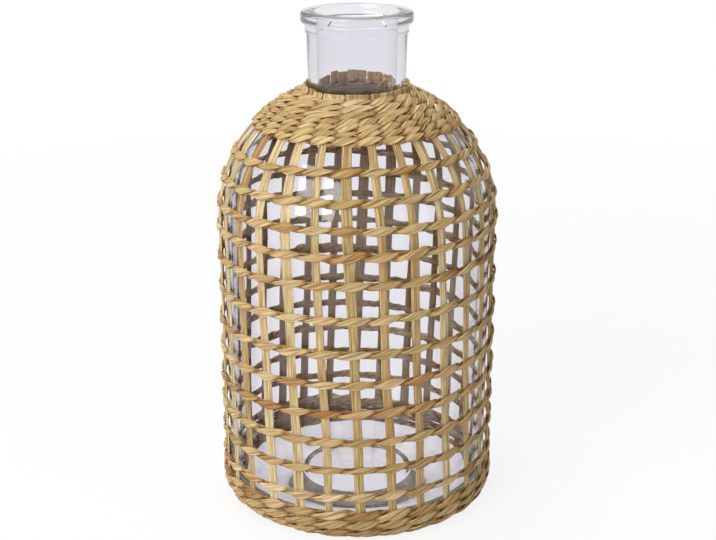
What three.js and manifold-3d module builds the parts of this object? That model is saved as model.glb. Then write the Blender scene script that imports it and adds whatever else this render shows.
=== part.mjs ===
// Mesh-covered glass vase: a glass bottle inside an open cover of twined straw.
// Millimetres, +Z up. The origin is on the axis, on the surface that the vase stands on.
// The camera side of the vase is -Y, where the angle around the axis is zero.

import * as THREE from 'three';
import { mergeVertices } from 'three/addons/utils/BufferGeometryUtils.js';
import Module from 'manifold-3d';

const wasm = await Module();
wasm.setup();

// Glass bottle
const bodyRadius = 67.2;
const heelRadius = 7;
const sideLength = 140;
const shoulderRadius = 63.5;
const neckRadius = 23.8;
const neckFillet = 4;
const neckHeight = 37.25;
const neckFlare = 0.8;
const stepHeight = 4.3;
const stepOut = 0.7;
const rimHeight = 5.8;
const rimOut = 2.9;
const rimRound = 1.6;
const bodyWall = 2.9;
const neckWall = 4.4;
const baseThickness = 7;
const puntRadius = 30;
const puntHeight = 4;
const glassSegments = 24;
const heelSteps = 3;
const shoulderSteps = 6;
const filletSteps = 2;
const puntSteps = 2;
const roundSteps = 1;

// Upright stakes of the cover
const stakePairs = 14;
const stakeWidth = 5;
const stakeTopWidth = 2.8;
const stakeEndWidth = 4.4;
const stakeThickness = 0.9;
const stakeEndRise = 1.5;
const stakePhase = -0.44;
const stakeTurn = -5.67;

// Weft strands that twine round the stakes in pairs
const strandThickness = 1.6;
const strandHeight = 4.8;
const pinchThickness = 0.7;
const pinchHeight = 1.5;
const seatGap = 0.3;
const crossingGap = 0.5;
const stakeGap = 0.45;

// Open rows, counted from the hem upwards
const strandsPerSpiral = 6;
const turnsPerStrand = 2;
const hemToFirstRow = 8;
const lastRowToCollar = 14.2;
const rowTilt = 0.9;
const rowDrift = 5.8;
const rowDriftAt = 7.3;
const rowDriftSpread = 1.9;

// Tight rows of the collar and the hem
const singleRows = 4;
const pairedRows = 3;
const singleRowPitch = 3.4;
const pairedRowPitch = 4.55;
const hemRows = 4;
const hemRowPitch = 4.6;
const hemStartAngle = 65;
const footCut = 0.5;

// Finish of the glass and the straw
const glassColour = 0xdfe4ea;
const glassRoughness = 0.05;
const glassOpacity = 0.35;
const strawColours = [0xd9b878, 0xcfa968, 0xc69c5c, 0xdcc089];
const strawRoughness = 0.7;

// Layers of the cover, measured out from the glass
const behindInner = seatGap;
const stakeInner = behindInner + pinchThickness + stakeGap;
const frontInner = stakeInner + stakeThickness + seatGap;
const coverDepth = frontInner + strandThickness;
const stakeCount = 2 * stakePairs;
const stakePitch = 2 * Math.PI / stakeCount;
const degree = Math.PI / 180;

// Heights of the bottle: the cover's lowest row lies under the heel and is cut flat at zero.
const startAngle = hemStartAngle * degree;
const glassBase = (heelRadius + coverDepth) * Math.sin(startAngle) - heelRadius - footCut;
const sideLow = glassBase + heelRadius;
const sideHigh = sideLow + sideLength;
const shoulderCentre = bodyRadius - shoulderRadius;
const filletAngle = filletTouch(neckRadius, shoulderRadius, neckFillet);
const neckLow = sideHigh + (shoulderRadius + neckFillet) * Math.sin(filletAngle);
const rimTop = neckLow + neckHeight;

// Angle on the shoulder arc where a fillet of this radius leaves it for the neck.
function filletTouch(neck, shoulder, fillet) {
  return Math.acos((neck + fillet - shoulderCentre) / (shoulder + fillet));
}

// Points on an arc, its two ends included.
function arc(centreR, centreZ, radius, from, to, steps) {
  const points = [];
  for (let i = 0; i <= steps; i += 1) {
    const angle = from + (to - from) * i / steps;
    points.push(new THREE.Vector2(centreR + radius * Math.cos(angle), centreZ + radius * Math.sin(angle)));
  }
  return points;
}

// Bottle outline: outside from the punt up to the rim, then inside down to the floor.
function bottleProfile() {
  const rightAngle = Math.PI / 2;
  const neckTop = rimTop - rimHeight - stepHeight;
  const neckTopRadius = neckRadius + neckFlare;
  const stepRadius = neckTopRadius + stepOut;
  const rimRadius = neckTopRadius + rimOut;
  const mouthRadius = neckTopRadius - neckWall;
  const filletStart = Math.PI + filletAngle;
  const innerNeck = neckRadius - neckWall;
  const innerShoulder = shoulderRadius - bodyWall;
  const innerFillet = neckFillet + bodyWall;
  const innerAngle = filletTouch(innerNeck, innerShoulder, innerFillet);
  const innerNeckLow = sideHigh + (innerShoulder + innerFillet) * Math.sin(innerAngle);
  const innerHeel = heelRadius;
  const innerRadius = bodyRadius - bodyWall;
  const floor = glassBase + baseThickness;
  const puntSphere = (puntRadius ** 2 + puntHeight ** 2) / (2 * puntHeight);
  const puntAngle = Math.asin(puntRadius / puntSphere);
  const puntCentre = glassBase + puntHeight - puntSphere;
  return [
    ...arc(0, puntCentre, puntSphere, rightAngle, rightAngle - puntAngle, puntSteps),
    ...arc(bodyRadius - heelRadius, sideLow, heelRadius, -rightAngle, 0, heelSteps),
    ...arc(shoulderCentre, sideHigh, shoulderRadius, 0, filletAngle, shoulderSteps),
    ...arc(neckRadius + neckFillet, neckLow, neckFillet, filletStart, Math.PI, filletSteps).slice(1),
    new THREE.Vector2(neckTopRadius, neckTop),
    new THREE.Vector2(stepRadius, neckTop),
    new THREE.Vector2(stepRadius, neckTop + stepHeight),
    ...arc(rimRadius - rimRound, neckTop + stepHeight + rimRound, rimRound, -rightAngle, 0, roundSteps),
    ...arc(rimRadius - rimRound, rimTop - rimRound, rimRound, 0, rightAngle, roundSteps),
    ...arc(mouthRadius + rimRound, rimTop - rimRound, rimRound, rightAngle, 2 * rightAngle, roundSteps),
    new THREE.Vector2(innerNeck, innerNeckLow),
    ...arc(shoulderCentre, sideHigh, innerShoulder, innerAngle, 0, shoulderSteps - 3),
    ...arc(innerRadius - innerHeel, floor + innerHeel, innerHeel, 0, -rightAngle, heelSteps - 1),
    new THREE.Vector2(0, floor + puntHeight),
  ];
}

// Line of the stakes' inner faces: under the heel, up the side, over the shoulder and round the fillet.
const heelRun = (heelRadius + stakeInner) * Math.PI / 2;
const shoulderStart = heelRun + sideLength;
const shoulderEnd = shoulderStart + filletAngle * (shoulderRadius + stakeInner);
const bendRun = filletAngle * (neckFillet - stakeInner);

// Place on the glass beside a length along the cover: radius, height, and how far the normal leans.
function seatAt(along) {
  if (along > shoulderEnd) {
    return neckSeatAt(along);
  }
  const onHeel = Math.min(along - heelRun, 0) / (heelRadius + stakeInner);
  const onShoulder = Math.max(along - shoulderStart, 0) / (shoulderRadius + stakeInner);
  const lean = onHeel + onShoulder;
  const arcRadius = along < heelRun ? heelRadius : shoulderRadius;
  const centreR = bodyRadius - arcRadius;
  const centreZ = THREE.MathUtils.clamp(sideLow + along - heelRun, sideLow, sideHigh);
  return {
    lean,
    radius: centreR + arcRadius * Math.cos(lean),
    height: centreZ + arcRadius * Math.sin(lean),
  };
}

// The same past the shoulder: round the hollow fillet and up the neck.
function neckSeatAt(along) {
  const lean = filletAngle * Math.max(1 - (along - shoulderEnd) / bendRun, 0);
  const climb = Math.max(along - shoulderEnd - bendRun, 0);
  return {
    lean,
    radius: neckRadius + neckFillet * (1 - Math.cos(lean)),
    height: neckLow - neckFillet * Math.sin(lean) + climb,
  };
}

// A point off the glass: out along the normal, up along the cover, sideways and further from the axis.
function pointAt(along, angle, out, up, side = 0, push = 0) {
  const seat = seatAt(along);
  const radius = seat.radius + out * Math.cos(seat.lean) - up * Math.sin(seat.lean) + push;
  const height = seat.height + out * Math.sin(seat.lean) + up * Math.cos(seat.lean);
  return new THREE.Vector3(
    radius * Math.sin(angle) + side * Math.cos(angle),
    -radius * Math.cos(angle) + side * Math.sin(angle),
    height,
  );
}

// Angle of a stake, or of a place between stakes.
// The stakes lean: they turn by stakeTurn from foot to shoulder.
function stakeAngle(index, along) {
  const turned = stakeTurn * (along / shoulderStart - 0.5);
  return index * stakePitch + (stakePhase + turned) * degree;
}

// Closed skin over a row of equal sections, capped at both ends or joined into a ring.
function skin(sections, ring) {
  const sides = sections[0].length;
  const positions = sections.flat().flatMap((point) => point.toArray());
  const index = [];
  const last = ring ? sections.length : sections.length - 1;
  for (let i = 0; i < last; i += 1) {
    const here = i * sides;
    const next = ((i + 1) % sections.length) * sides;
    for (let j = 0; j < sides; j += 1) {
      const k = (j + 1) % sides;
      index.push(here + j, here + k, next + k, here + j, next + k, next + j);
    }
  }
  if (!ring) {
    const end = (sections.length - 1) * sides;
    for (let j = 1; j < sides - 1; j += 1) {
      index.push(0, j + 1, j, end, end + j, end + j + 1);
    }
  }
  const geometry = new THREE.BufferGeometry();
  geometry.setAttribute('position', new THREE.Float32BufferAttribute(positions, 3));
  geometry.setIndex(index);
  return geometry;
}

// Rows of the cover by length: the hem, the open rows and the collar.
const openRows = strandsPerSpiral * turnsPerStrand;
const hemStart = (90 - hemStartAngle) * degree * (heelRadius + stakeInner);
const hemTop = hemStart + (hemRows - 0.5) * hemRowPitch;
const collarRows = singleRows + pairedRows;
const pitchGain = pairedRowPitch - singleRowPitch;
const collarEnd = shoulderEnd - pinchHeight - crossingGap / 2;
const collarStart = collarEnd - collarRows * singleRowPitch - pairedRows * pitchGain;
const firstRow = hemTop + hemToFirstRow;
const rowPitch = (collarStart - lastRowToCollar - firstRow) / (openRows - 1);

// Length along the cover of an open row; the whole rows climb to the right as one spiral.
function openRowAt(index) {
  const row = index / stakeCount;
  const drift = rowDrift * Math.exp(-(((row - rowDriftAt) / rowDriftSpread) ** 2));
  const tilt = rowTilt * Math.sin(index * stakePitch);
  const lowest = hemTop + strandHeight / 2 + seatGap;
  return Math.max(firstRow + row * rowPitch + drift - tilt, lowest);
}

// Height of a collar row and its length along the cover: the pitch grows as stakes are taken in pairs.
function collarPitchAt(turn) {
  const growth = THREE.MathUtils.clamp((turn - singleRows + 1) / 2, 0, 1);
  return singleRowPitch + pitchGain * growth;
}

function collarRowAt(turn) {
  const ramp = THREE.MathUtils.clamp(turn - singleRows + 1, 0, 2);
  const beyond = Math.max(turn - singleRows - 1, 0);
  return collarStart + turn * singleRowPitch + pitchGain * (ramp ** 2 / 4 + beyond);
}

// Width of a stake, narrowed inside the collar and wide again at its upright end.
function stakeWidthAt(along) {
  const inCollar = THREE.MathUtils.clamp((along - collarStart) / (collarEnd - collarStart), 0, 1);
  const inBend = THREE.MathUtils.clamp((along - shoulderEnd) / bendRun, 0, 1);
  const narrowed = THREE.MathUtils.lerp(stakeWidth, stakeTopWidth, inCollar);
  return THREE.MathUtils.lerp(narrowed, stakeEndWidth, inBend);
}

// Even steps along an arc of the cover, and how far their straight spans cut inside the arc.
function evenSteps(from, to, steps, arcRadius) {
  const lineRadius = arcRadius + stakeInner;
  const bow = lineRadius * (1 - Math.cos((to - from) / steps / lineRadius / 2));
  return Array.from({ length: steps + 1 }, (_, i) => ({ along: from + (to - from) * i / steps, bow }));
}

// One stake: a thin strip, folded to a ridge, that follows the glass from the hem to the collar.
// Its end bends up along the neck.
function stake(index) {
  const bottom = hemStart - hemRowPitch / 2 + seatGap;
  const top = shoulderEnd + bendRun + stakeEndRise;
  const places = [
    ...evenSteps(bottom, heelRun, heelSteps, heelRadius),
    ...evenSteps(shoulderStart, shoulderEnd, shoulderSteps, shoulderRadius),
    { along: (shoulderEnd + top) / 2, bow: 0 },
    { along: top, bow: 0 },
  ];
  const sections = places.map(({ along, bow }) => {
    const half = stakeWidthAt(along) / 2;
    const angle = stakeAngle(index, along);
    const inner = stakeInner + bow / 2;
    return [
      pointAt(along, angle, inner, 0, half),
      pointAt(along, angle, inner, 0, -half),
      pointAt(along, angle, inner + stakeThickness, 0, 0),
    ];
  });
  return skin(sections, false);
}

// Three-cornered section of a strand: flat towards the glass, ridged outwards.
function strandSection(index, along, inner, up, height, thickness, push) {
  const angle = stakeAngle(index, along);
  return [
    pointAt(along, angle, inner, up - height / 2, 0, push),
    pointAt(along, angle, inner, up + height / 2, 0, push),
    pointAt(along, angle, inner + thickness, up, 0, push),
  ];
}

// One strand of a twined pair. It passes in front of every second support, rising to the right,
// and runs straight behind the next one. A support is one stake, or two stakes side by side.
function strand(supports, lead, rowAt, heightAt, pinchAt, ring) {
  const sections = [];
  const crossing = (edge, upward, halfAngle) => {
    const along = rowAt(edge);
    const pinch = pinchAt(edge);
    const push = (seatAt(along).radius + behindInner) * (1 / Math.cos(halfAngle) - 1);
    const up = upward * (pinch + crossingGap) / 2;
    sections.push(strandSection(edge, along, behindInner, up, pinch, pinchThickness, push));
  };
  const behind = (support, shift) => {
    const middle = (support.first + support.last) / 2;
    const along = rowAt(middle);
    const place = middle + shift * seatGap / (seatAt(along).radius * stakePitch);
    sections.push(strandSection(place, along, behindInner, 0, pinchAt(middle), pinchThickness, 0));
  };
  const front = (support) => {
    const halfAngle = (support.last - support.first + 1) * stakePitch / 2;
    crossing(support.first - 0.5, -1, halfAngle);
    for (let index = support.first; index <= support.last; index += 1) {
      const height = heightAt(index);
      sections.push(strandSection(index, rowAt(index), frontInner, 0, height, strandThickness, 0));
    }
    crossing(support.last + 0.5, 1, halfAngle);
  };
  const ends = ring ? 0 : 1;
  if (!ring) {
    behind(supports[lead], 0.5);
  }
  for (let i = lead + ends; i < supports.length - ends; i += 2) {
    front(supports[i]);
  }
  if (!ring) {
    behind(supports[supports.length - 2 + lead], -0.5);
  }
  return skin(sections, ring);
}

// Single stakes, or pairs of stakes, as the supports of a row.
function supportsFrom(first, count, size) {
  return Array.from({ length: count }, (_, i) => {
    const start = first + i * size;
    return { first: start, last: start + size - 1 };
  });
}

// A closed geometry as a solid that can be cut.
function toSolid(geometry) {
  const bare = geometry.clone();
  bare.deleteAttribute('normal');
  bare.deleteAttribute('uv');
  const merged = mergeVertices(bare);
  const mesh = new wasm.Mesh({
    numProp: 3,
    vertProperties: new Float32Array(merged.attributes.position.array),
    triVerts: new Uint32Array(merged.index.array),
  });
  return new wasm.Manifold(mesh);
}

// Flat cut at the standing surface.
function cutAtFloor(geometry) {
  const span = 2 * (bodyRadius + coverDepth);
  const floor = new THREE.BoxGeometry(span, span, coverDepth);
  floor.translate(0, 0, -coverDepth / 2);
  const cut = toSolid(geometry).subtract(toSolid(floor)).getMesh();
  const result = new THREE.BufferGeometry();
  result.setAttribute('position', new THREE.Float32BufferAttribute(cut.vertProperties, 3));
  result.setIndex(Array.from(cut.triVerts));
  return result;
}

const vase = new THREE.Group();
const cover = new THREE.Group();
vase.add(cover);

// Glass bottle
const glass = new THREE.LatheGeometry(bottleProfile(), glassSegments);
glass.rotateX(Math.PI / 2);
const bottle = new THREE.Mesh(glass, new THREE.MeshStandardMaterial({
  color: glassColour,
  roughness: glassRoughness,
  metalness: 0,
  transparent: true,
  opacity: glassOpacity,
}));
bottle.name = 'glass_bottle';
vase.add(bottle);

// A named piece of straw, in one of the straw's shades.
function addStraw(name, geometry, shade) {
  const color = strawColours[shade % strawColours.length];
  const material = new THREE.MeshStandardMaterial({ color, roughness: strawRoughness, metalness: 0 });
  const mesh = new THREE.Mesh(geometry, material);
  mesh.name = name;
  cover.add(mesh);
}

// Stakes
for (let index = 0; index < stakeCount; index += 1) {
  const number = String(index + 1).padStart(2, '0');
  addStraw(`stake_${number}`, stake(index - stakePairs), index);
}

// Open rows: each strand is a strip that makes its turns and is tucked in behind a stake
const turnStakes = turnsPerStrand * stakeCount;
const openHeight = () => strandHeight;
const openPinch = () => pinchHeight;
for (let strip = 0; strip < strandsPerSpiral; strip += 1) {
  const supports = supportsFrom(strip * turnStakes - stakePairs, turnStakes + 2, 1);
  ['a', 'b'].forEach((letter, lead) => {
    const geometry = strand(supports, lead, openRowAt, openHeight, openPinch, false);
    addStraw(`weft_${letter}_${strip + 1}`, geometry, strip + lead);
  });
}

// Collar: one spiral, over single stakes first and over pairs of stakes near the neck
const collarTurnAt = (index) => (index + stakePairs) / stakeCount;
const collarAlong = (index) => collarRowAt(collarTurnAt(index));
const collarHeight = (index) => collarPitchAt(collarTurnAt(index)) - seatGap;
const tightPinch = (pitch) => (pitch - crossingGap - seatGap) / 2;
const collarPinch = (index) => Math.min(pinchHeight, tightPinch(collarPitchAt(collarTurnAt(index))));
const collarSupports = [
  ...supportsFrom(-stakePairs, singleRows * stakeCount, 1),
  ...supportsFrom(singleRows * stakeCount - stakePairs, pairedRows * stakePairs, 2),
];
['a', 'b'].forEach((letter, lead) => {
  const geometry = strand(collarSupports, lead, collarAlong, collarHeight, collarPinch, false);
  addStraw(`collar_strand_${letter}`, geometry, lead);
});

// Hem: level rows round the heel; the lowest one is cut flat to stand on
for (let row = 0; row < hemRows; row += 1) {
  const along = hemStart + row * hemRowPitch;
  const supports = supportsFrom(-stakePairs, stakeCount, 1);
  const height = () => hemRowPitch - seatGap;
  const pinch = () => Math.min(pinchHeight, tightPinch(hemRowPitch));
  ['a', 'b'].forEach((letter, lead) => {
    const round = strand(supports, lead, () => along, height, pinch, true);
    const geometry = row === 0 ? cutAtFloor(round) : round;
    addStraw(`hem_row_${row + 1}_${letter}`, geometry, row + lead);
  });
}

export default vase;
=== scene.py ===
import bpy
import numpy as np
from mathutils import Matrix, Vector


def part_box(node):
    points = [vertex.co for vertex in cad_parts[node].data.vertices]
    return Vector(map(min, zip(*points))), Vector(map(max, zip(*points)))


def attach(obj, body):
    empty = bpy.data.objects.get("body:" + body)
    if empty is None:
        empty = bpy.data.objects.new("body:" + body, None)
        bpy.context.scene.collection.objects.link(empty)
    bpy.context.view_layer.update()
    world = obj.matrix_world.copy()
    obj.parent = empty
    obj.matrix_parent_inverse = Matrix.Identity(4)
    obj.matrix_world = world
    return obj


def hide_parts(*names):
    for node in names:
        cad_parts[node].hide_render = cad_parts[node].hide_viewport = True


# Glass bottle vase in an open cover of twined sedge. Shapes are worked out in millimetres.
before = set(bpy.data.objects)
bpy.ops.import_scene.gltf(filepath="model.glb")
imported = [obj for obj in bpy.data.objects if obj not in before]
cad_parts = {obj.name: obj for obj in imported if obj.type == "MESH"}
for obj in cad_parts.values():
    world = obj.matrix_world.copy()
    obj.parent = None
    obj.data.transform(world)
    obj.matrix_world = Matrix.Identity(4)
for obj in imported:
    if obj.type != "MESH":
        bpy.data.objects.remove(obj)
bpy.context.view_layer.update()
mm = 0.001
print("frame loaded,", len(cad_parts), "nodes")


# Tools for meshes

# Slow wander along a piece: random values at even knots, joined by a smooth ease.
# A ring is given by its length, and its knots close on themselves.
def wander(rng, places, spacing, size, ring=0, openKnots=500):
    count = int(round(ring / spacing)) if ring else openKnots
    knots = rng.uniform(-size, size, count)
    where = places * count / ring if ring else places / spacing
    left = np.floor(where).astype(int)
    share = where - left
    share = share * share * (3 - 2 * share)
    return knots[left % count] * (1 - share) + knots[(left + 1) % count] * share


# Skin over a grid of points: rows run along the piece, columns go round it and close.
# The rows close into a ring, or each end closes on a pole: its own middle, or a given point.
# Lengths and girths are the UV map, in millimetres; marks are extra values kept at the points.
def skinPiece(name, points, lengths, girths, ring=False, poles=None, marks=None):
    rows, columns = points.shape[:2]
    i, j = np.meshgrid(np.arange(rows if ring else rows - 1), np.arange(columns), indexing="ij")
    i, j = i.ravel(), j.ravel()
    below, above, right = i * columns, (i + 1) % rows * columns, (j + 1) % columns
    corners = np.stack([below + j, below + right, above + right, above + j], -1)
    uv = np.stack([
        np.stack([lengths[i], girths[j]], -1), np.stack([lengths[i], girths[j + 1]], -1),
        np.stack([lengths[i + 1], girths[j + 1]], -1), np.stack([lengths[i + 1], girths[j]], -1)], 1)
    vertices = points.reshape(-1, 3)
    a, b, c, d = (vertices[corners[:, k]] for k in range(4))
    inward = np.sum(a * np.cross(b, c)) + np.sum(a * np.cross(c, d)) < 0
    cornerSets, uvSets, sizes = [corners], [uv], [np.full(len(corners), 4)]
    if not ring:
        ends = points[[0, -1]].mean(axis=1) if poles is None else np.array(poles, float)
        vertices = np.concatenate([vertices, ends])
        side = np.arange(columns)
        beside, last = (side + 1) % columns, (rows - 1) * columns
        firstFan = np.stack([np.full(columns, rows * columns), beside, side], -1)
        lastFan = np.stack([np.full(columns, rows * columns + 1), last + side, last + beside], -1)
        for fan, row, order in ((firstFan, 0, (side + 1, side)), (lastFan, rows - 1, (side, side + 1))):
            along = np.full(columns, lengths[row])
            acrossSet = (np.full(columns, girths.mean()), girths[order[0]], girths[order[1]])
            cornerSets.append(fan)
            uvSets.append(np.stack([np.stack([along, across], -1) for across in acrossSet], 1))
            sizes.append(np.full(columns, 3))
    if inward:
        cornerSets = [each[:, ::-1] for each in cornerSets]
        uvSets = [each[:, ::-1] for each in uvSets]
    loops = np.concatenate([each.ravel() for each in cornerSets]).astype(np.int32)
    faceSizes = np.concatenate(sizes)
    mesh = bpy.data.meshes.new(name)
    mesh.vertices.add(len(vertices))
    mesh.vertices.foreach_set("co", (vertices * mm).astype(np.float32).ravel())
    mesh.loops.add(len(loops))
    mesh.loops.foreach_set("vertex_index", loops)
    mesh.polygons.add(len(faceSizes))
    mesh.polygons.foreach_set("loop_start", (np.cumsum(faceSizes) - faceSizes).astype(np.int32))
    mesh.polygons.foreach_set("use_smooth", np.ones(len(faceSizes), bool))
    layer = mesh.uv_layers.new(name="lengthways")
    layer.uv.foreach_set("vector", np.concatenate([each.ravel() for each in uvSets]).astype(np.float32))
    for mark, values in (marks or {}).items():
        grid = np.broadcast_to(values, (rows, columns))
        spread = grid.ravel() if ring else np.concatenate([grid.ravel(), grid[[0, -1]].mean(axis=1)])
        mesh.attributes.new(mark, "FLOAT", "POINT").data.foreach_set("value", spread.astype(np.float32))
    mesh.update(calc_edges=True)
    piece = bpy.data.objects.new(name, mesh)
    bpy.context.scene.collection.objects.link(piece)
    return piece


# A finished piece takes its material, rides on the body and stands for its node
def dress(piece, material, node):
    piece.data.materials.append(material)
    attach(piece, "root")
    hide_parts(node)


# Tools for materials

# sRGB hex to linear colour
def colour(code):
    values = np.array([int(code[k:k + 2], 16) for k in (1, 3, 5)]) / 255
    linear = np.where(values <= 0.04045, values / 12.92, ((values + 0.055) / 1.055) ** 2.4)
    return (*linear.tolist(), 1.0)


# Adds a node with its settings; an input is a plain value or another node's output to link
def addNode(tree, kind, inputs=None, **settings):
    node = tree.nodes.new(kind)
    for key, value in settings.items():
        setattr(node, key, value)
    for key, value in (inputs or {}).items():
        if isinstance(value, bpy.types.NodeSocket):
            tree.links.new(value, node.inputs[key])
        else:
            node.inputs[key].default_value = value
    return node


# Blend from one colour to another by a share
def blend(tree, share, first, second):
    return addNode(tree, "ShaderNodeMix", {0: share, 6: first, 7: second}, data_type="RGBA").outputs[2]


# Share of a value's way through a range, from 0 to 1
def shareOf(tree, value, span):
    return addNode(tree, "ShaderNodeMapRange", {
        "Value": value, "From Min": span[0], "From Max": span[1]}).outputs["Result"]


# Empty material and its node tree
def newMaterial(name):
    material = bpy.data.materials.new(name)
    material.use_nodes = True
    material.node_tree.nodes.clear()
    return material, material.node_tree


# Soda-lime glass, blown in a mould: clear, faintly lavender where it is thick, with a slow waviness.
# Lamp light goes straight through, so that what is behind the glass is lit. Light that has bounced about
# inside the wall ends in a painted reflection: a glow in the mean colour of what surrounds it, the floor at
# the base, straw round the body, the studio round the neck.
glass = dict(
    baseTint="#f1f0f6", bodyTint="#f8f7fb", neckTint="#f1f0f5", ior=1.5, roughness=0.01, waveSize=26.0,
    waveDepth=0.05, lateBounce=2.5, paintedBaseReflection="#7f7c74", paintedCoverReflection="#523d1e", paintedOpenReflection="#807f80",
    coverLow=(12.0, 34.0), coverTop=(212.0, 224.0))


# Glass shader with a slow bump, whose tint and painted late reflection blend with height over the
# two edges of the cover
def blownGlass():
    material, tree = newMaterial("clear blown soda-lime glass")
    place = addNode(tree, "ShaderNodeTexCoord")
    waves = addNode(tree, "ShaderNodeTexNoise", {
        "Vector": place.outputs["Object"], "Scale": 1 / (glass["waveSize"] * mm), "Detail": 1.0})
    bump = addNode(tree, "ShaderNodeBump", {
        "Height": waves.outputs["Fac"], "Strength": 1.0, "Distance": glass["waveDepth"] * mm})
    axes = addNode(tree, "ShaderNodeSeparateXYZ", {"Vector": place.outputs["Object"]})
    reflectionPaint, tint = colour(glass["paintedBaseReflection"]), colour(glass["baseTint"])
    for zone, near, clarity in (
            ("coverLow", "paintedCoverReflection", "bodyTint"), ("coverTop", "paintedOpenReflection", "neckTint")):
        share = shareOf(tree, axes.outputs["Z"], [edge * mm for edge in glass[zone]])
        reflectionPaint = blend(tree, share, reflectionPaint, colour(glass[near]))
        tint = blend(tree, share, tint, colour(glass[clarity]))
    shader = addNode(tree, "ShaderNodeBsdfPrincipled", {
        "Base Color": tint, "Roughness": glass["roughness"], "IOR": glass["ior"],
        "Transmission Weight": 1.0, "Normal": bump.outputs["Normal"]})
    path = addNode(tree, "ShaderNodeLightPath")
    clear = addNode(tree, "ShaderNodeBsdfTransparent", {"Color": tint})
    both = addNode(tree, "ShaderNodeMixShader", {
        0: path.outputs["Is Shadow Ray"], 1: shader.outputs["BSDF"], 2: clear.outputs["BSDF"]})
    # Painted reflection: past a few bounces inside the wall, light ends in a glow of the surroundings' mean
    # colour
    late = addNode(tree, "ShaderNodeMath", {
        0: path.outputs["Glossy Depth"], 1: glass["lateBounce"]}, operation="GREATER_THAN")
    mean = addNode(tree, "ShaderNodeEmission", {"Color": reflectionPaint, "Strength": 1.0})
    whole = addNode(tree, "ShaderNodeMixShader", {
        0: late.outputs["Value"], 1: both.outputs["Shader"], 2: mean.outputs["Emission"]})
    addNode(tree, "ShaderNodeOutputMaterial", {"Surface": whole.outputs["Shader"]})
    return material


# Sedge leaf, dried and split: satin, with fibres along the leaf, streaks of tan and a trace of green.
# Fibres are drawn about twice as coarse as the real ones, so that they show. Painted shade browns a leaf in
# the slit where it dives under its partner, along its fold lines, and on its face towards the glass.
sedge = dict(
    fibreWidth=0.6, fibreLength=16.0, streakWidth=1.5, streakLength=60.0, bumpDepth=0.16,
    fibreShade="#a08c68", paintedShadeTint="#b39a76", foldShade=1.0, glassSideShade=0.6, bright=1.28,
    goldRange=(0.45, 1.0), brownRange=(1.0, 1.5), fibreRange=(0.3, 0.7), rough=(0.5, 0.72), specular=0.35)


# Noise drawn out along the leaf: the UV map divided by a length and a width
def drawnNoise(tree, length, width, **settings):
    uv = addNode(tree, "ShaderNodeUVMap", uv_map="lengthways")
    stretched = addNode(tree, "ShaderNodeMapping", {
        "Vector": uv.outputs["UV"], "Scale": (1 / length, 1 / width, 1.0)})
    noise = addNode(tree, "ShaderNodeTexNoise", {
        "Vector": stretched.outputs["Vector"], "Scale": 1.0, **settings})
    return noise.outputs["Fac"]


# Leaf colour: pale to gold to brown by tone plus streaks, then green by freshness, times the shade of the
# fibres and the painted shade of slits, fold lines and the face towards the glass
def driedSedge(name, pale, gold, brown, green):
    material, tree = newMaterial(name)
    tone, fresh, paintedShadeMark = (
        addNode(tree, "ShaderNodeAttribute", attribute_name=mark).outputs["Fac"]
        for mark in ("tone", "fresh", "paintedShadeMark"))
    fibres = drawnNoise(tree, sedge["fibreLength"], sedge["fibreWidth"], Detail=3.0, Roughness=0.6)
    streaks = drawnNoise(tree, sedge["streakLength"], sedge["streakWidth"], Detail=2.0)
    warmth = addNode(tree, "ShaderNodeMath", {0: tone, 1: streaks}, operation="ADD").outputs["Value"]
    golden = blend(tree, shareOf(tree, warmth, sedge["goldRange"]), colour(pale), colour(gold))
    browned = blend(tree, shareOf(tree, warmth, sedge["brownRange"]), golden, colour(brown))
    shown = blend(tree, fresh, browned, colour(green))
    white = colour("#ffffff")
    grain = blend(tree, shareOf(tree, fibres, sedge["fibreRange"]), colour(sedge["fibreShade"]), white)
    # Painted shade: browner by the mark for slits, fold lines and the face towards the glass
    dusk = blend(tree, paintedShadeMark, white, colour(sedge["paintedShadeTint"]))
    for shade in (grain, dusk):
        shown = addNode(tree, "ShaderNodeVectorMath", {
            0: shown, 1: shade}, operation="MULTIPLY").outputs["Vector"]
    shown = addNode(tree, "ShaderNodeVectorMath", {0: shown, "Scale": sedge["bright"]}, operation="SCALE")
    rough = addNode(tree, "ShaderNodeMapRange", {
        "Value": fibres, "To Min": sedge["rough"][0], "To Max": sedge["rough"][1]})
    bump = addNode(tree, "ShaderNodeBump", {
        "Height": fibres, "Strength": 1.0, "Distance": sedge["bumpDepth"] * mm})
    shader = addNode(tree, "ShaderNodeBsdfPrincipled", {
        "Base Color": shown.outputs["Vector"], "Roughness": rough.outputs["Result"],
        "Specular IOR Level": sedge["specular"], "Normal": bump.outputs["Normal"]})
    addNode(tree, "ShaderNodeOutputMaterial", {"Surface": shader.outputs["BSDF"]})
    return material


glassMaterial = blownGlass()
stakeSedge = driedSedge("dried sedge, split flat", "#dfd0a9", "#c9b181", "#a5753f", "#b6a66c")
weftSedge = driedSedge("dried sedge, twined", "#e8d7af", "#d0b381", "#a5713a", "#b4a468")
collarSedge = driedSedge("dried sedge, packed tight", "#e3d2a8", "#ccaf7b", "#9f6f3a", "#aea069")
hemSedge = driedSedge("dried sedge, hem", "#dfcca2", "#c8a976", "#986a35", "#a99960")
print("materials made")


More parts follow.
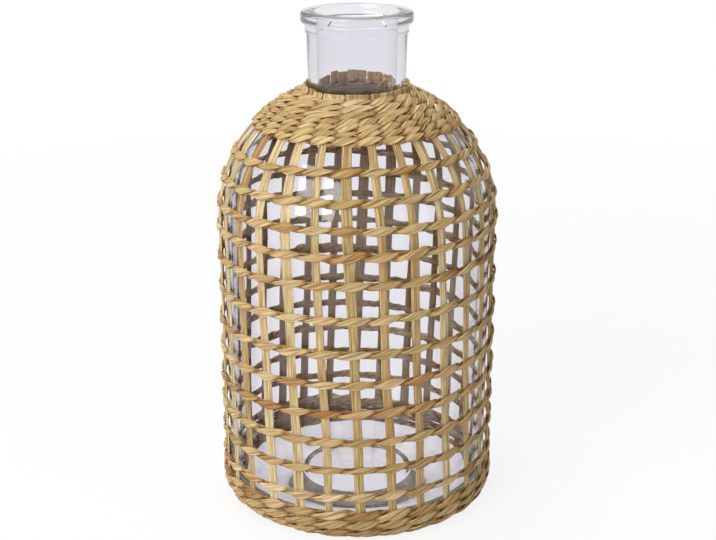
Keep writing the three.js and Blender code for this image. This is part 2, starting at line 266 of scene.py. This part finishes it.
# Glass bottle: overall sizes come from its node, the rest is its own form
bottle = dict(
    heelRadius=7.0, sideLength=140.0, shoulderRadius=63.5, neckRadius=23.8, neckFillet=4.0, neckFlare=0.8,
    stepHeight=4.3, stepOut=0.7, rimHeight=5.8, rimOut=2.9, rimRound=1.6, edgeRound=0.3, bodyWall=2.9,
    neckWall=4.4, baseThickness=7.0, puntRadius=30.0, puntHeight=4.0, ringWidth=3.4, ringDrop=0.8,
    ringSlopeIn=0.9, ringSlopeOut=1.7, segments=160)
glassLow, glassHigh = (np.array(corner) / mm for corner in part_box("glass_bottle"))
bodyRadius, glassBase, rimTop = glassHigh[1], glassLow[2], glassHigh[2]
heelRadius, shoulderRadius = bottle["heelRadius"], bottle["shoulderRadius"]
sideLow = glassBase + heelRadius
sideHigh = sideLow + bottle["sideLength"]
shoulderCentre = bodyRadius - shoulderRadius
neckRadius, neckFillet = bottle["neckRadius"], bottle["neckFillet"]


# Arc in the profile plane: centre plus radius times cosine and sine of even angles
def arcPoints(centreR, centreZ, radius, start, end, steps):
    angles = np.radians(np.linspace(start, end, steps + 1))
    return np.stack([centreR + radius * np.cos(angles), centreZ + radius * np.sin(angles)], -1)


# Angle on a shoulder arc where the fillet to the neck leaves it, in degrees
def filletTouch(neck, shoulder, fillet):
    return np.degrees(np.arccos((neck + fillet - shoulderCentre) / (shoulder + fillet)))


neckTouch = filletTouch(neckRadius, shoulderRadius, neckFillet)
neckLow = sideHigh + (shoulderRadius + neckFillet) * np.sin(np.radians(neckTouch))


# Dome of the punt, above a level: the arc through the punt's edge and its top, from the axis out to a width
def domePoints(level, width):
    rise = bottle["puntHeight"]
    radius = (bottle["puntRadius"] ** 2 + rise ** 2) / (2 * rise)
    half = np.degrees(np.arcsin(width / radius))
    return arcPoints(0, level + rise - radius, radius, 90, 90 - half, 10)


# Bottle outline: the outside from the punt to the rim, then the inside down to the floor
def bottleProfile():
    wall, turn, edge = (bottle[key] for key in ("bodyWall", "rimRound", "edgeRound"))
    neckTop = rimTop - bottle["rimHeight"] - bottle["stepHeight"]
    bandLow = rimTop - bottle["rimHeight"]
    topRadius = neckRadius + bottle["neckFlare"]
    stepRadius, bandRadius = topRadius + bottle["stepOut"], topRadius + bottle["rimOut"]
    mouth, innerNeck = topRadius - bottle["neckWall"], neckRadius - bottle["neckWall"]
    innerShoulder, innerFillet = shoulderRadius - wall, neckFillet + wall
    innerTouch = filletTouch(innerNeck, innerShoulder, innerFillet)
    innerLow = sideHigh + (innerShoulder + innerFillet) * np.sin(np.radians(innerTouch))
    floor = glassBase + bottle["baseThickness"]
    ringOuter, ringLow = bottle["puntRadius"], glassBase - bottle["ringDrop"]
    ringInner = ringOuter - bottle["ringWidth"]
    return np.concatenate([
        domePoints(glassBase, ringInner),
        [(ringInner + bottle["ringSlopeIn"], ringLow), (ringOuter - bottle["ringSlopeOut"], ringLow),
         (ringOuter, glassBase)],
        arcPoints(bodyRadius - heelRadius, sideLow, heelRadius, -90, 0, 12),
        arcPoints(shoulderCentre, sideHigh, shoulderRadius, 0, neckTouch, 40),
        arcPoints(neckRadius + neckFillet, neckLow, neckFillet, 180 + neckTouch, 180, 10)[1:],
        arcPoints(topRadius - edge, neckTop - edge, edge, 0, 30, 2),
        arcPoints(stepRadius - edge, neckTop + edge, edge, -60, 0, 4),
        arcPoints(stepRadius + edge, bandLow - edge, edge, 180, 90, 4),
        arcPoints(bandRadius - turn, bandLow + turn, turn, -90, 0, 8),
        arcPoints(bandRadius - turn, rimTop - turn, turn, 0, 90, 8),
        arcPoints(mouth + turn, rimTop - turn, turn, 90, 180, 8),
        arcPoints(innerNeck + innerFillet, innerLow, innerFillet, 180, 180 + innerTouch, 8),
        arcPoints(shoulderCentre, sideHigh, innerShoulder, innerTouch, 0, 40)[1:],
        arcPoints(bodyRadius - wall - heelRadius, floor + heelRadius, heelRadius, 0, -90, 12),
        domePoints(floor, bottle["puntRadius"])[::-1]])


# Lathe: every profile point goes round the axis; the two ends are poles on the axis
def buildBottle():
    profile = bottleProfile()
    turns = np.arange(bottle["segments"]) * 2 * np.pi / bottle["segments"]
    r, z = profile[1:-1, 0, None], profile[1:-1, 1, None]
    points = np.stack([r * np.sin(turns), -r * np.cos(turns), z + 0 * turns], -1)
    steps = np.linalg.norm(np.diff(profile, axis=0), axis=1)
    lengths = np.concatenate([[0], np.cumsum(steps)])
    girths = np.arange(bottle["segments"] + 1) / bottle["segments"] * 2 * np.pi * bodyRadius
    poles = [(0, 0, profile[0, 1]), (0, 0, profile[-1, 1])]
    piece = skinPiece("bottle", points, lengths, girths, poles=poles)
    dress(piece, glassMaterial, "glass_bottle")


buildBottle()
print("bottle made")


# Cover: layers out from the glass, shared by stakes and strands
cover = dict(stakePairs=14, stakeInner=1.6, stakeThickness=1.0, phase=-0.44, turn=-5.67, seed=7)
stakeCount = 2 * cover["stakePairs"]
stakePitch = 2 * np.pi / stakeCount
stakePlane = cover["stakeInner"] + cover["stakeThickness"] / 2
heelLine, shoulderLine = heelRadius + cover["stakeInner"], shoulderRadius + cover["stakeInner"]
filletLine = neckFillet - cover["stakeInner"]
heelRun = heelLine * np.pi / 2
shoulderStart = heelRun + bottle["sideLength"]
shoulderEnd = shoulderStart + np.radians(neckTouch) * shoulderLine
filletEnd = shoulderEnd + np.radians(neckTouch) * filletLine


# A point off the glass. Along runs under the heel, up the side, over the shoulder, through the fillet and
# up the neck: arc, line, arc, hollow arc, line. Out is along the glass's normal, up along the cover, and
# side is level.
def coverPoint(along, angle, out, up, side=0.0):
    onHeel, onNeck = along < heelRun, along > shoulderEnd
    arcRadius = np.select([onHeel, onNeck], [heelRadius, -neckFillet], shoulderRadius)
    centre = np.select([onHeel, onNeck], [bodyRadius - heelRadius, neckRadius + neckFillet], shoulderCentre)
    level = np.clip(sideLow + along - heelRun, sideLow, sideHigh)
    level = np.where(onNeck, neckLow + np.maximum(along - filletEnd, 0), level)
    lean = np.minimum(along - heelRun, 0) / heelLine
    lean = lean + np.clip(along - shoulderStart, 0, shoulderEnd - shoulderStart) / shoulderLine
    lean = lean - np.clip(along - shoulderEnd, 0, filletEnd - shoulderEnd) / filletLine
    radius = centre + (arcRadius + out) * np.cos(lean) - up * np.sin(lean)
    height = level + (arcRadius + out) * np.sin(lean) + up * np.cos(lean)
    x = radius * np.sin(angle) + side * np.cos(angle)
    y = -radius * np.cos(angle) + side * np.sin(angle)
    return np.stack(np.broadcast_arrays(x, y, height), -1)


# Angle of a stake, or of a place between stakes: even spacing plus the lean of the stakes
def stakeAngle(place, along):
    return place * stakePitch + np.radians(cover["phase"] + cover["turn"] * (along / shoulderStart - 0.5))


# Leaf: how far its section's points reach across each face, and how its fold lines lie, as shares of half
# its width
leaf = dict(outerReach=0.96, innerReach=0.8, foldReach=0.7, foldDrift=0.22, grooveShare=0.4, grooveWander=0.6,
            edgePower=8)


# Section of a leaf, across from -1 to 1 and through from 0 to 1: a flattened oval, close-set on its
# outer face
def leafSection(outerSteps, innerSteps, flatness, innerFlatness):
    outer = np.linspace(-leaf["outerReach"], leaf["outerReach"], outerSteps)
    inner = np.linspace(leaf["innerReach"], -leaf["innerReach"], innerSteps)
    across = np.concatenate([[-1.0], outer, [1.0], inner])
    power = np.where(np.arange(len(across)) < outerSteps + 2, flatness, innerFlatness)
    rise = 0.5 * (1 - np.abs(across) ** power) ** (1 / power)
    rise[outerSteps + 2:] *= -1
    return across, 0.5 + rise


# Fold of a leaf: the outer face rises from thin edges to a ridge that drifts across it
def foldedFace(ridge, across, through, edge):
    roof = np.minimum((1 + across) / (1 + ridge[:, None]), (1 - across) / (1 - ridge[:, None]))
    return through * np.where(through >= 0.5, edge + (1 - edge) * roof, edge)


# Creases of the outer face: each fold line drifts across the leaf, with a new slope beyond it and a groove
# in the fold that comes and goes. Gives the relief, and the share of painted shade in the fold lines.
def creases(rng, places, across, through, spacing, kind, ring=0):
    relief, shade = np.zeros((2, len(places), len(across)))
    face = (through > 0.5) * (1 - across ** leaf["edgePower"])
    for _ in range(kind["folds"]):
        middle = rng.uniform(-leaf["foldReach"], leaf["foldReach"])
        middle = middle + wander(rng, places, spacing, leaf["foldDrift"], ring)
        beside = across - middle[:, None]
        slope = wander(rng, places, spacing, kind["facetSlope"], ring)
        line = np.exp(-((beside / kind["grooveWidth"]) ** 2))
        groove = leaf["grooveShare"] + wander(rng, places, spacing, leaf["grooveWander"], ring)
        groove = np.clip(groove, 0, 1)[:, None]
        relief += slope[:, None] * np.abs(beside) - kind["grooveDepth"] * groove * line
        shade = np.maximum(shade, groove * line)
    return relief * face, shade * face


# Girth of a section in millimetres, for the UV map
def sectionGirths(across, through, halfWidth, thickness):
    ring = np.stack([across * halfWidth, through * thickness], -1)
    steps = np.linalg.norm(np.diff(np.concatenate([ring, ring[:1]]), axis=0), axis=1)
    return np.concatenate([[0], np.cumsum(steps)])


# Stakes: flat split leaves, from under the hem to the neck above the collar. Names in Run are lengths over
# which a value changes.
stakes = dict(
    width=5.0, collarWidth=3.4, endWidth=6.4, step=1.4, outerSteps=19, innerSteps=4, flatness=4.0,
    widthSpread=0.18, widthWander=0.1, widthRun=22.0, swing=0.4, swingRun=30.0, twist=6.0, twistRun=40.0,
    edge=0.4, ridge=0.4, ridgeRun=60.0, folds=3, foldRun=45.0, facetSlope=0.2, grooveDepth=0.45,
    grooveWidth=0.09, narrowRun=8.0, flareBelow=6.0, flareRun=3.0, endRise=1.1, endSpread=0.6, backRise=2.0,
    endRound=0.5, endNarrow=0.8, endLayer=0.45, pairing=0.05, footRise=0.6, tone=(0.1, 0.7), toneWander=0.2,
    toneRun=30.0, fresh=(-0.4, 0.5), freshWander=0.25, freshRun=60.0, freshMost=0.7, grainShift=40)


# One stake: the leaf's section carried along the cover, turned a little about its own line. It narrows in
# the collar and flares at its end, where every second one lies over its neighbours.
def buildStake(index, bottom, collarStart, top):
    rng = np.random.default_rng([cover["seed"], index])
    place = index - cover["stakePairs"]
    backShare = (1 - np.cos(place * stakePitch)) / 2
    top = top + rng.uniform(-1, 1) * stakes["endSpread"] + stakes["backRise"] * backShare
    along = np.linspace(bottom, top - stakes["endRound"], int((top - bottom) / stakes["step"]))
    along = np.concatenate([along, [top]])
    across, through = leafSection(
        stakes["outerSteps"], stakes["innerSteps"], stakes["flatness"], stakes["flatness"])
    narrowing = np.clip((along - collarStart) / stakes["narrowRun"], 0, 1)
    flaring = np.clip((along - top + stakes["flareBelow"]) / stakes["flareRun"], 0, 1)
    spread = 1 + rng.uniform(-1, 1) * stakes["widthSpread"]
    width = stakes["width"] * spread * (1 - narrowing) + stakes["collarWidth"] * narrowing
    width = width + (stakes["endWidth"] - stakes["collarWidth"]) * flaring
    half = width / 2 * (1 + wander(rng, along, stakes["widthRun"], stakes["widthWander"]))
    half[-1] *= stakes["endNarrow"]
    swing = wander(rng, along, stakes["swingRun"], stakes["swing"]) * (1 - narrowing)
    angle = stakeAngle(place, along) + np.radians(swing)
    angle = angle + stakes["pairing"] * stakePitch * flaring * (1 - index % 2 * 2)
    tilt = np.radians(wander(rng, along, stakes["twistRun"], stakes["twist"]) * (1 - narrowing))
    ridge = wander(rng, along, stakes["ridgeRun"], stakes["ridge"])
    relief, shade = creases(rng, along, across, through, stakes["foldRun"], stakes)
    body = foldedFace(ridge, across, through, stakes["edge"]) + relief
    offset = across * half[:, None]
    layer = cover["stakeInner"] + stakes["endLayer"] * (index % 2) * flaring
    out = layer[:, None] + cover["stakeThickness"] * body + offset * np.sin(tilt)[:, None]
    points = coverPoint(along[:, None], angle[:, None], out, 0.0, offset * np.cos(tilt)[:, None])
    tone = rng.uniform(*stakes["tone"]) + wander(rng, along, stakes["toneRun"], stakes["toneWander"])
    fresh = rng.uniform(*stakes["fresh"]) + wander(rng, along, stakes["freshRun"], stakes["freshWander"])
    # Painted shade on a stake: its fold lines, and its whole face towards the glass
    marks = dict(tone=tone[:, None], fresh=np.clip(fresh, 0, stakes["freshMost"])[:, None],
                 paintedShadeMark=np.maximum(sedge["foldShade"] * shade, sedge["glassSideShade"] * (through < 0.5)))
    girths = sectionGirths(across, through, stakes["width"] / 2, cover["stakeThickness"])
    name = f"stake_{index + 1:02d}"
    piece = skinPiece("sedge_" + name, points, along, girths + stakes["grainShift"] * index, marks=marks)
    dress(piece, stakeSedge, name)


# Twined strands: two leaves that turn round each other, one in front of a stake while the other is behind
# it. Names in Run are counts of stakes over which a value changes.
strand = dict(
    samples=12, outerSteps=17, innerSteps=5, flatness=4.5, innerFlatness=1.6, stakeClear=0.65, edge=0.5,
    ridge=0.5, folds=3, facetSlope=0.3, grooveDepth=0.45, grooveWidth=0.1, heightWander=0.13,
    depthWander=0.15, liftWander=0.28, turnWander=0.2, turnRun=1.0, rowRun=2.0, leafRun=7.0, tone=0.45,
    leafTone=0.32, turnTone=0.2, fresh=0.55, freshMost=0.6, slitShadeAt=0.62, slitShadeSpread=0.14, grainShift=900)


# One strand. Turns counts the stakes passed: even at the front, odd behind. The leaf's section stands off
# the row's line in the direction of the turn: out at the front, then up, behind, and down. The row's own
# wander is shared by its two strands.
def buildStrand(name, row, weave, turns, places, along, height, ring=0, floorCut=False):
    rng = np.random.default_rng([cover["seed"], *name.encode()])
    rowRng = np.random.default_rng([cover["seed"], *row.encode()])
    turnRun, rowRun, leafRun = strand["turnRun"], strand["rowRun"], strand["leafRun"]
    across, through = leafSection(
        strand["outerSteps"], strand["innerSteps"], strand["flatness"], strand["innerFlatness"])
    lift = wander(rowRng, places, rowRun, strand["liftWander"], ring)
    early = wander(rowRng, places, rowRun, strand["turnWander"], ring)
    swing = np.pi * (turns - weave["ease"] * np.sin(2 * np.pi * turns) / (2 * np.pi)) + early
    cosine, sine = np.cos(swing), np.sin(swing)
    behind = (1 - cosine) / 2
    squeeze = (weave["backHeight"] - 1) * behind ** 3 + (weave["frontHeight"] - 1) * (1 - behind) ** 3
    tall = height / 2 * (1 + squeeze) * (1 + wander(rng, places, turnRun, strand["heightWander"], ring))
    deep = weave["frontDepth"] + (weave["backDepth"] - weave["frontDepth"]) * behind
    deep = deep * (1 + wander(rng, places, turnRun, strand["depthWander"], ring))
    ridge = wander(rng, places, rowRun, strand["ridge"], ring)
    relief, shade = creases(rng, places, across, through, rowRun, strand, ring)
    body = foldedFace(ridge, across, through, strand["edge"]) + relief
    outward = body * cosine[:, None] - across * sine[:, None]
    upward = weave["crossing"] * body * sine[:, None] + across * cosine[:, None]
    out = stakePlane + strand["stakeClear"] * cosine[:, None] + deep[:, None] * outward
    up = lift[:, None] + tall[:, None] * upward
    points = coverPoint(along[:, None], stakeAngle(places, along)[:, None], out, up)
    if floorCut:
        points[..., 2] = np.maximum(points[..., 2], 0)
    tone = wander(rng, places, leafRun, strand["leafTone"], ring)
    tone = tone + wander(rng, places, rowRun, strand["turnTone"], ring)
    fresh = np.clip(wander(rng, places, leafRun, strand["fresh"], ring), 0, strand["freshMost"])
    # Painted shade: a band at the slit where the strand dives under, its face to the glass when behind, and
    # folds
    slitAndBackShade = np.exp(-(((behind - strand["slitShadeAt"]) / strand["slitShadeSpread"]) ** 2))
    slitAndBackShade = np.maximum(slitAndBackShade, sedge["glassSideShade"] * behind ** 4)
    marks = dict(tone=(strand["tone"] + weave["variety"] * tone)[:, None],
                 fresh=(weave["variety"] * fresh)[:, None],
                 paintedShadeMark=np.maximum(slitAndBackShade[:, None], sedge["foldShade"] * shade))
    reach = np.linalg.norm(np.diff(points.mean(axis=1), axis=0), axis=1)
    lengths = np.concatenate([[0], np.cumsum(reach)])
    lengths = np.concatenate([lengths, [lengths[-1] + reach[-1]]])
    girths = sectionGirths(across, through, np.mean(height) / 2, weave["frontDepth"])
    girths = girths + rng.uniform(0, strand["grainShift"])
    piece = skinPiece("sedge_" + name, points, lengths, girths, ring=bool(ring), marks=marks)
    dress(piece, weave["material"], name)


# Rows of the cover by length along it: hem, open rows, collar
hem = dict(
    rows=4, pitch=4.6, startAngle=65.0, height=5.1, ease=-0.1, crossing=1.08, frontHeight=1.0,
    backHeight=0.85, frontDepth=1.25, backDepth=1.2, variety=0.75, material=hemSedge, slot="straw_hem")
openRows = dict(
    strips=6, turnsPerStrip=2, hemToFirst=8.0, lastToCollar=14.2, tilt=0.9, drift=5.8, driftAt=7.3,
    driftSpread=1.9, height=4.45, ease=-0.05, crossing=0.95, frontHeight=1.0, backHeight=0.66,
    frontDepth=1.1, backDepth=0.75, variety=1.0, material=weftSedge, slot="straw_weft")
collar = dict(
    singleRows=4, pairedRows=3, singlePitch=3.45, pairedPitch=4.7, beforeNeck=0.3, backLift=2.0,
    overlap=1.2, ease=0.0, crossing=1.05, frontHeight=1.0, backHeight=1.0, frontDepth=1.25, backDepth=1.35,
    variety=0.6, material=collarSedge, slot="straw_collar")

hemStart = np.radians(90 - hem["startAngle"]) * heelLine
hemTop = hemStart + (hem["rows"] - 0.5) * hem["pitch"]
pitchGain = collar["pairedPitch"] - collar["singlePitch"]
collarRows = collar["singleRows"] + collar["pairedRows"]
collarEnd = shoulderEnd - collar["beforeNeck"]
collarStart = collarEnd - collarRows * collar["singlePitch"] - collar["pairedRows"] * pitchGain
firstRow = hemTop + openRows["hemToFirst"]
openCount = openRows["strips"] * openRows["turnsPerStrip"]
rowPitch = (collarStart - openRows["lastToCollar"] - firstRow) / (openCount - 1)


# Open rows climb as one spiral; the drift widens the spacing half-way up, the tilt lifts one side
def openRowAt(place):
    row = place / stakeCount
    drift = openRows["drift"] * np.exp(-(((row - openRows["driftAt"]) / openRows["driftSpread"]) ** 2))
    level = firstRow + row * rowPitch + drift - openRows["tilt"] * np.sin(place * stakePitch)
    return np.maximum(level, hemTop + openRows["height"] / 2)


# Collar rows: the pitch grows where stakes are taken in pairs, and the upper rows rise towards the back
def collarRowAt(turn):
    ramp = np.clip(turn - collar["singleRows"] + 1, 0, 2)
    beyond = np.maximum(turn - collar["singleRows"] - 1, 0)
    lift = collar["backLift"] * turn / collarRows * (1 + np.cos(2 * np.pi * turn)) / 2
    return collarStart + turn * collar["singlePitch"] + pitchGain * (ramp ** 2 / 4 + beyond) + lift


# Stakes, evenly round the bottle, from inside the lowest hem row to a little above the fillet
def buildStakes():
    bottom = hemStart - hem["pitch"] / 2 + stakes["footRise"]
    top = filletEnd + stakes["endRise"]
    for index in range(stakeCount):
        buildStake(index, bottom, collarStart, top)


# Open rows: strips of whole turns, in two strands one stake apart, each strip going on where one ended
def buildOpenRows():
    stripStakes = openRows["turnsPerStrip"] * stakeCount
    for strip in range(openRows["strips"]):
        for lead, letter in enumerate("ab"):
            turns = np.linspace(-1, stripStakes - 1, stripStakes * strand["samples"] + 1)
            places = turns + 1 + lead + strip * stripStakes - cover["stakePairs"]
            buildStrand(f"weft_{letter}_{strip + 1}", "weft", openRows, turns, places, openRowAt(places),
                        openRows["height"])


# Collar: one spiral in two strands. Supports are single stakes and then pairs; places between the first
# and last of each kind are spaced evenly.
def buildCollar():
    single = collar["singleRows"] * stakeCount
    paired = collar["pairedRows"] * cover["stakePairs"]
    passed = single + paired - 2
    knots = np.array([0, single - 1, single, single + paired - 1])
    stops = np.array([0, single - 1, single + 0.5, single + 2 * paired - 1.5]) - cover["stakePairs"]
    for lead, letter in enumerate("ab"):
        supports = np.linspace(lead, passed + lead, passed * strand["samples"] + 1)
        places = np.interp(supports, knots, stops)
        turn = (places + cover["stakePairs"]) / stakeCount
        growth = np.clip((turn - collar["singleRows"] + 1) / 2, 0, 1)
        height = collar["singlePitch"] + pitchGain * growth + collar["overlap"]
        buildStrand(f"collar_strand_{letter}", "collar", collar, supports - lead - 1, places,
                    collarRowAt(turn), height)


# Hem: level rings of two strands, the lowest one flat where it stands on the floor
def buildHem():
    steps = np.arange(stakeCount * strand["samples"]) / strand["samples"]
    for row in range(hem["rows"]):
        along = np.full(len(steps), hemStart + row * hem["pitch"])
        for lead, letter in enumerate("ab"):
            buildStrand(f"hem_row_{row + 1}_{letter}", f"hem {row}", hem, steps - lead,
                        steps - cover["stakePairs"], along, hem["height"], ring=stakeCount,
                        floorCut=row == 0)


buildStakes()
print("stakes made")
buildOpenRows()
print("open rows made")
buildCollar()
buildHem()
print("collar and hem made")


# Floor and world: pale, and white to the camera and through the glass. Reflections show them dimmer, and
# the world darkens towards the zenith, as a studio's ceiling does. The floor whitens with distance from
# the vase.
stage = dict(
    floorSize=9000.0, floorColour="#f2f2f2", nearGlow=0.85, farGlow=1.0, glowRange=(250.0, 1000.0),
    reflected=0.88, deepReflected=0.2, deepWalls=2.5, paintedStrawReflection="#ffe2bd", worldLight=0.42, ceiling=0.6,
    ceilingRange=(0.25, 0.75))


# Three values for the background: 1 for rays that see it, from the camera, through glass or off a gloss;
# how bright it is to them, with painted shade: less after a reflection and least after one deep inside,
# past the first walls; and its colour, white, but warm after such a deep one, a painted reflection of straw
def lookingRays(tree, deepLevel):
    path = addNode(tree, "ShaderNodeLightPath")
    looking = path.outputs["Is Camera Ray"]
    for kind in ("Is Glossy Ray", "Is Transmission Ray"):
        looking = addNode(tree, "ShaderNodeMath", {
            0: looking, 1: path.outputs[kind]}, operation="MAXIMUM").outputs["Value"]
    deep = addNode(tree, "ShaderNodeMath", {
        0: path.outputs["Transmission Depth"], 1: stage["deepWalls"]}, operation="GREATER_THAN")
    mirrored = addNode(tree, "ShaderNodeMapRange", {
        "Value": deep.outputs["Value"], "To Min": stage["reflected"], "To Max": deepLevel})
    dimming = addNode(tree, "ShaderNodeMapRange", {
        "Value": path.outputs["Glossy Depth"], "To Min": 1.0, "To Max": mirrored.outputs["Result"]})
    warm = addNode(tree, "ShaderNodeMath", {
        0: deep.outputs["Value"], 1: path.outputs["Glossy Depth"]}, operation="MULTIPLY", use_clamp=True)
    tint = blend(tree, warm.outputs["Value"], colour("#ffffff"), colour(stage["paintedStrawReflection"]))
    return looking, dimming.outputs["Result"], tint


# Floor: matt paint for the light on the vase, mixed with plain white for looking rays by distance
def buildFloor():
    half = stage["floorSize"] / 2 * mm
    corners = [(-half, -half, 0), (half, -half, 0), (half, half, 0), (-half, half, 0)]
    mesh = bpy.data.meshes.new("floor")
    mesh.from_pydata(corners, [], [(0, 1, 2, 3)])
    material, tree = newMaterial("matt pale floor")
    paint = addNode(tree, "ShaderNodeBsdfDiffuse", {"Color": colour(stage["floorColour"])})
    place = addNode(tree, "ShaderNodeTexCoord")
    distance = addNode(tree, "ShaderNodeVectorMath", {0: place.outputs["Object"]}, operation="LENGTH")
    near, far = stage["glowRange"]
    level = addNode(tree, "ShaderNodeMapRange", {
        "Value": distance.outputs["Value"], "From Min": near * mm, "From Max": far * mm,
        "To Min": stage["nearGlow"], "To Max": stage["farGlow"]}, interpolation_type="SMOOTHSTEP")
    looking, dimming, tint = lookingRays(tree, stage["deepReflected"])
    share = addNode(tree, "ShaderNodeMath", {0: looking, 1: level.outputs["Result"]}, operation="MULTIPLY")
    white = addNode(tree, "ShaderNodeEmission", {"Color": tint, "Strength": 1.0})
    both = addNode(tree, "ShaderNodeMixShader", {
        0: share.outputs["Value"], 1: paint.outputs[0], 2: white.outputs[0]})
    seen = addNode(tree, "ShaderNodeMixShader", {0: dimming, 2: both.outputs["Shader"]})
    addNode(tree, "ShaderNodeOutputMaterial", {"Surface": seen.outputs["Shader"]})
    mesh.materials.append(material)
    floor = bpy.data.objects.new("floor", mesh)
    bpy.context.scene.collection.objects.link(floor)


# World: an even soft light, and for looking rays white that falls off with the height of their direction
def buildWorld():
    world = bpy.data.worlds.new("studio")
    bpy.context.scene.world = world
    world.use_nodes = True
    tree = world.node_tree
    tree.nodes.clear()
    light = addNode(tree, "ShaderNodeBackground", {"Strength": stage["worldLight"]})
    place = addNode(tree, "ShaderNodeTexCoord")
    heading = addNode(tree, "ShaderNodeSeparateXYZ", {"Vector": place.outputs["Generated"]})
    low, high = stage["ceilingRange"]
    level = addNode(tree, "ShaderNodeMapRange", {
        "Value": heading.outputs["Z"], "From Min": low, "From Max": high,
        "To Min": 1.0, "To Max": stage["ceiling"]})
    looking, dimming, tint = lookingRays(tree, stage["reflected"])
    white = addNode(tree, "ShaderNodeBackground", {"Color": tint, "Strength": level.outputs["Result"]})
    both = addNode(tree, "ShaderNodeMixShader", {0: looking, 1: light.outputs[0], 2: white.outputs[0]})
    seen = addNode(tree, "ShaderNodeMixShader", {0: dimming, 2: both.outputs["Shader"]})
    addNode(tree, "ShaderNodeOutputWorld", {"Surface": seen.outputs["Shader"]})


# Turns a lamp or camera, whose own view is down its z axis, to face a point
def faceTo(thing, point):
    thing.rotation_euler = (point - thing.location).to_track_quat("-Z", "Y").to_euler()


# Soft boxes: place, size and power of each
lamps = dict(
    key=dict(place=(-880.0, -1060.0, 900.0), size=1200.0, power=19.0),
    fill=dict(place=(1100.0, -800.0, 600.0), size=900.0, power=1.0),
    top=dict(place=(-200.0, 200.0, 1500.0), size=900.0, power=9.5))


# Square area lamps, all turned to the middle of the vase
def buildLamps():
    for name, lamp in lamps.items():
        data = bpy.data.lights.new(name, "AREA")
        data.size, data.energy = lamp["size"] * mm, lamp["power"]
        light = bpy.data.objects.new(name, data)
        light.location = Vector(lamp["place"]) * mm
        faceTo(light, Vector((0, 0, rimTop / 2 * mm)))
        bpy.context.scene.collection.objects.link(light)


# Camera: it looks down at a point on the axis, at the photograph's angle
camera = dict(distance=713.0, pitch=18.67, aimHeight=117.8, lens=69.94, sensor=36.0, shiftX=0.0014,
              clip=(10.0, 50000.0))


# The eye stands off the aim by the distance, back by the cosine of the pitch and up by its sine
def buildCamera():
    data = bpy.data.cameras.new("camera")
    data.lens, data.sensor_width, data.shift_x = camera["lens"], camera["sensor"], camera["shiftX"]
    data.clip_start, data.clip_end = (limit * mm for limit in camera["clip"])
    eye = bpy.data.objects.new("camera", data)
    pitch = np.radians(camera["pitch"])
    aim = Vector((0, 0, camera["aimHeight"])) * mm
    eye.location = aim + Vector((0, -np.cos(pitch), np.sin(pitch))) * camera["distance"] * mm
    faceTo(eye, aim)
    bpy.context.scene.collection.objects.link(eye)
    bpy.context.scene.camera = eye


buildFloor()
buildWorld()
buildLamps()
buildCamera()
bpy.context.scene.view_settings.view_transform = "Standard"
print("stage, lamps and camera made")
